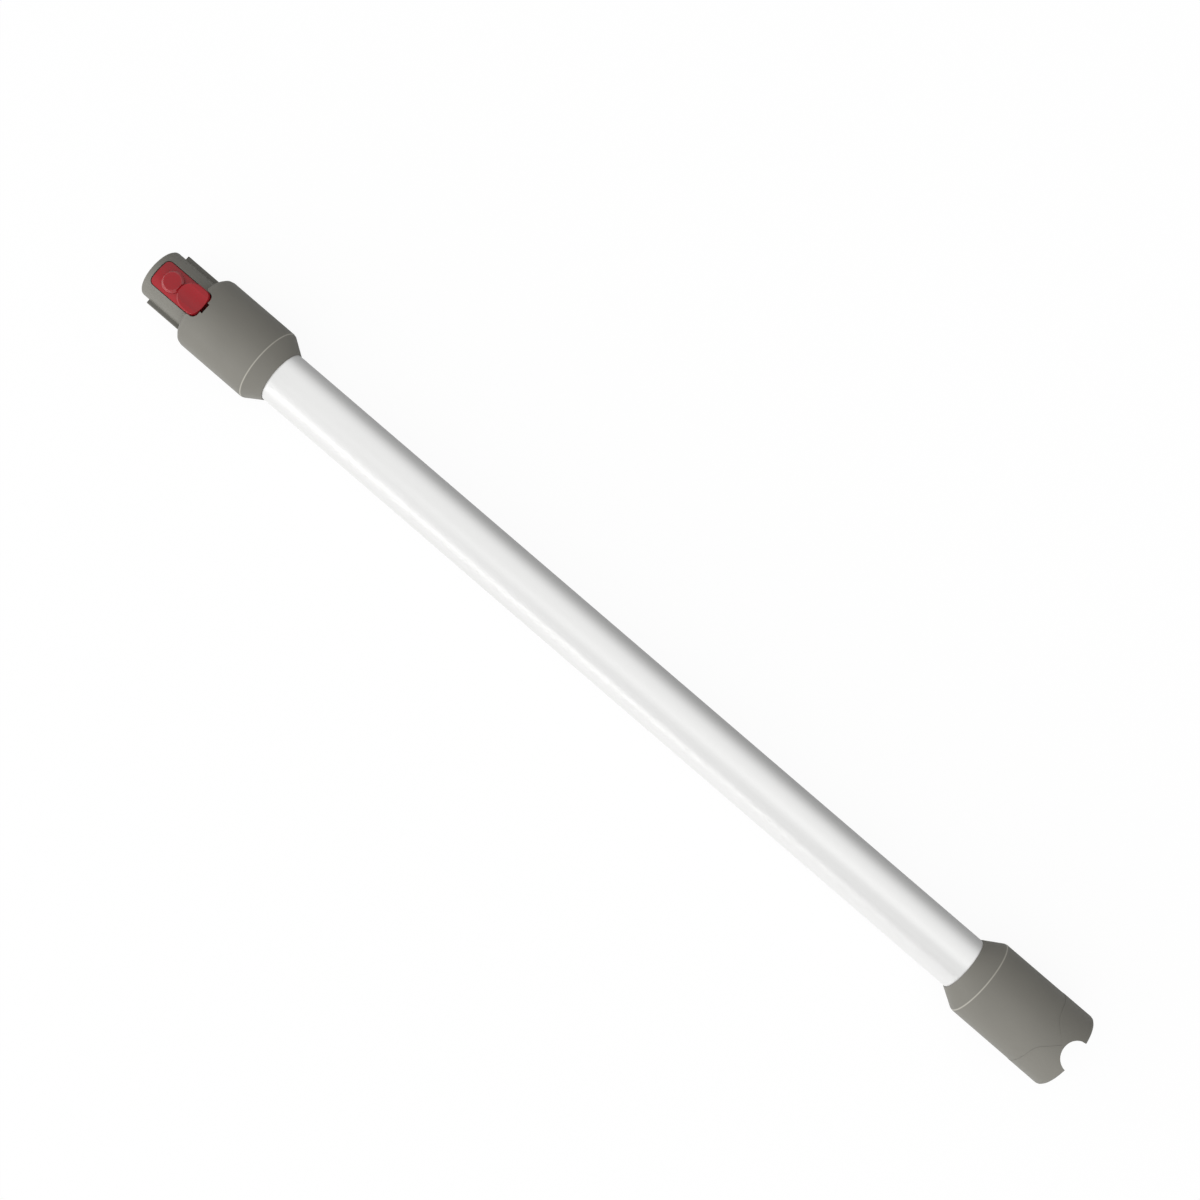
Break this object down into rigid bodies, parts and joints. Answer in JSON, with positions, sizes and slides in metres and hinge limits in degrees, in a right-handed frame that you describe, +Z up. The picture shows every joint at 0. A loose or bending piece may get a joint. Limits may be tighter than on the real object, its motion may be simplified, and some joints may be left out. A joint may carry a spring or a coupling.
{
  "type": "vacuum extension wand",
  "caption": "Straight metal extension wand with grey end collars, a ribbed spigot with a sprung red release button, and a notched socket that takes the cleaning tool.",
  "frame": {"origin": "middle of the wand's length, on the surface it lies on, under its axis", "axes": "+X along the wand from the spigot to the socket, +Z up on the side of the button and the notch"},
  "size_m": [0.723, 0.051, 0.051],
  "materials": {
    "tube_metal": "satin anodised",
    "grey_plastic": "satin warm grey",
    "red_plastic": "semi-gloss deep red",
    "steel": "bright",
    "black_plastic": "matt",
    "brass": "bright",
    "lead_red": "matt insulation",
    "lead_black": "matt insulation",
    "black_rubber": "matt"
  },
  "bodies": {
    "wand": {"wand_tube": "tube_metal", "upper_collar": "grey_plastic", "upper_spigot": "grey_plastic", "button_pivot_pin": "steel", "button_spring": "steel", "lower_collar": "grey_plastic", "socket_liner": "grey_plastic", "plug_carrier": "black_plastic", "plug_pins": "brass", "socket_carrier": "black_plastic", "socket_contacts": "brass", "wire_duct": "black_plastic", "wire_live": "lead_red", "wire_return": "lead_black", "upper_grommet": "black_rubber", "lower_grommet": "black_rubber", "upper_tube_seal": "black_rubber", "lower_tube_seal": "black_rubber", "socket_seal": "black_rubber"},
    "button": {"release_button": "red_plastic"}
  },
  "joints": [
    {"name": "button_press", "type": "hinge", "parent": "wand", "child": "button", "pos_m": [-0.3543, 0, 0.0371], "axis": [0, 1, 0], "range_deg": [0, 7], "stiffness_Nm_per_rad": 1.2, "springref_deg": -6.88, "deforming": ["button_spring"]}
  ]
}
